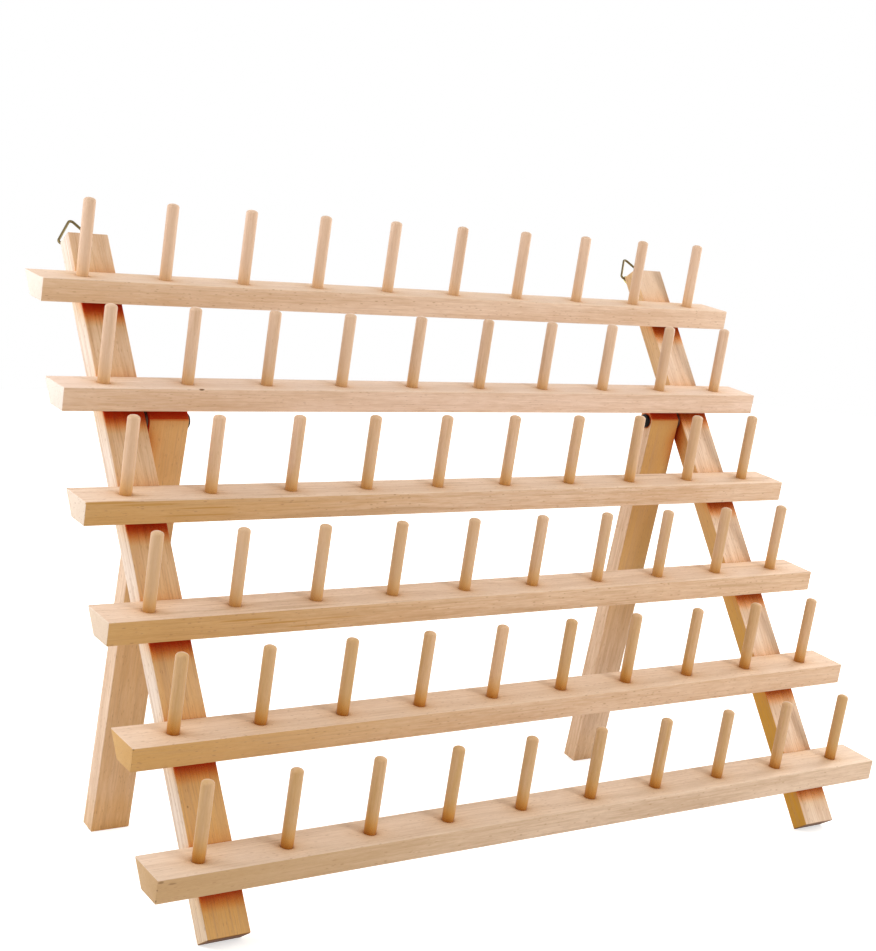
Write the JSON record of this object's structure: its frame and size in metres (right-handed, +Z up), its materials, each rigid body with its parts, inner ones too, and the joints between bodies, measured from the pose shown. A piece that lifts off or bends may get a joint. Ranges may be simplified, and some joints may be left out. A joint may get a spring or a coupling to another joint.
{
  "type": "thread rack",
  "caption": "Freestanding folding thread rack: stepped rails of upright dowel pegs for spools on two leaning legs, with folding rear legs and wire rings for hanging on a wall.",
  "frame": {"origin": "bottom centre of the bounding box, on the surface that the rack stands on", "axes": "+X along the rails to the right as seen from the front, +Y from the front of the rack to its back, +Z up"},
  "size_m": [0.404, 0.1786, 0.2941],
  "materials": {
    "beech": "bare sanded beech, pale pinkish tan with fine dark flecks",
    "brass": "bright brass-plated steel",
    "zinc_steel": "bright zinc-plated steel",
    "black_steel": "black oxide"
  },
  "bodies": {
    "rack": {"peg_rail_1": "beech", "peg_rail_2": "beech", "peg_rail_3": "beech", "peg_rail_4": "beech", "peg_rail_5": "beech", "peg_rail_6": "beech", "left_front_leg": "beech", "left_pivot_screw": "black_steel", "left_pivot_washer": "black_steel", "left_hanger_strap": "brass", "left_hanger_screw": "zinc_steel", "left_rail_screw_1": "zinc_steel", "left_rail_screw_2": "zinc_steel", "left_rail_screw_3": "zinc_steel", "left_rail_screw_4": "zinc_steel", "left_rail_screw_5": "zinc_steel", "left_rail_screw_6": "zinc_steel", "right_front_leg": "beech", "right_pivot_screw": "black_steel", "right_pivot_washer": "black_steel", "right_hanger_strap": "brass", "right_hanger_screw": "zinc_steel", "right_rail_screw_1": "zinc_steel", "right_rail_screw_2": "zinc_steel", "right_rail_screw_3": "zinc_steel", "right_rail_screw_4": "zinc_steel", "right_rail_screw_5": "zinc_steel", "right_rail_screw_6": "zinc_steel"},
    "left_rear_leg": {"left_rear_leg": "beech"},
    "left_hanger_ring": {"left_hanger_ring": "brass"},
    "right_rear_leg": {"right_rear_leg": "beech"},
    "right_hanger_ring": {"right_hanger_ring": "brass"}
  },
  "joints": [
    {"name": "left_rear_leg_fold", "type": "hinge", "parent": "rack", "child": "left_rear_leg", "pos_m": [-0.14745, 0.02849, 0.1981], "axis": [-1, 0, 0], "range_deg": [0, 42.9]},
    {"name": "left_hanger_ring_swing", "type": "hinge", "parent": "rack", "child": "left_hanger_ring", "pos_m": [-0.16855, 0.07899, 0.27395], "axis": [1, 0, 0], "range_deg": [-150, 80]},
    {"name": "right_rear_leg_fold", "type": "hinge", "parent": "rack", "child": "right_rear_leg", "pos_m": [0.14745, 0.02849, 0.1981], "axis": [-1, 0, 0], "range_deg": [0, 42.9]},
    {"name": "right_hanger_ring_swing", "type": "hinge", "parent": "rack", "child": "right_hanger_ring", "pos_m": [0.16855, 0.07899, 0.27395], "axis": [1, 0, 0], "range_deg": [-150, 80]}
  ]
}
